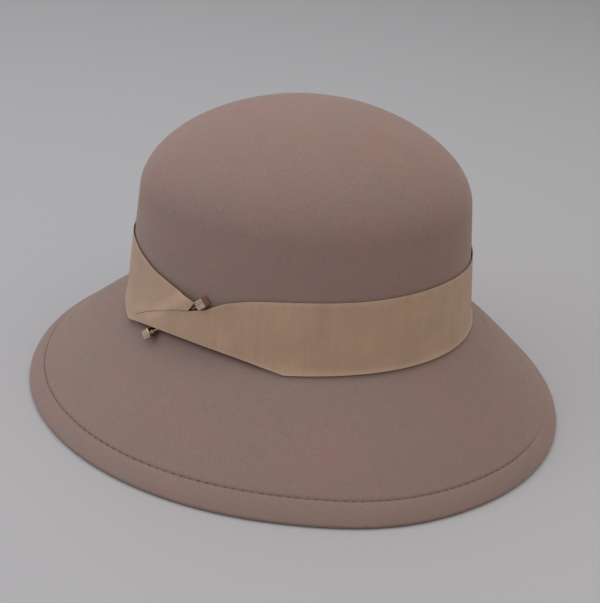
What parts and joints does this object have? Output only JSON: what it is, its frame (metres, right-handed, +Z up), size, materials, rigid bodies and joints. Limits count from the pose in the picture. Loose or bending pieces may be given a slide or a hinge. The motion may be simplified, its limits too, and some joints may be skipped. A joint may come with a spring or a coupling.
{
  "type": "felt cloche hat",
  "caption": "Blocked felt cloche with a round crown, a downward bell brim with a stitched hem, and a ribbon band pinched by a pin with cube ends.",
  "frame": {"origin": "centre of the plane that the brim's folded edge rests on", "axes": "+Z up through the crown, -Y towards the front, +X towards the wearer's left"},
  "size_m": [0.2765, 0.313, 0.1699],
  "materials": {
    "felt": "matte wool felt",
    "ribbon": "ribbed grosgrain with a faint sheen",
    "gold_metal": "polished, gold-coloured"
  },
  "bodies": {
    "root": {"felt_body": "felt", "ribbon_band": "ribbon", "pin_rod": "gold_metal", "pin_end_cap": "gold_metal"}
  },
  "joints": []
}
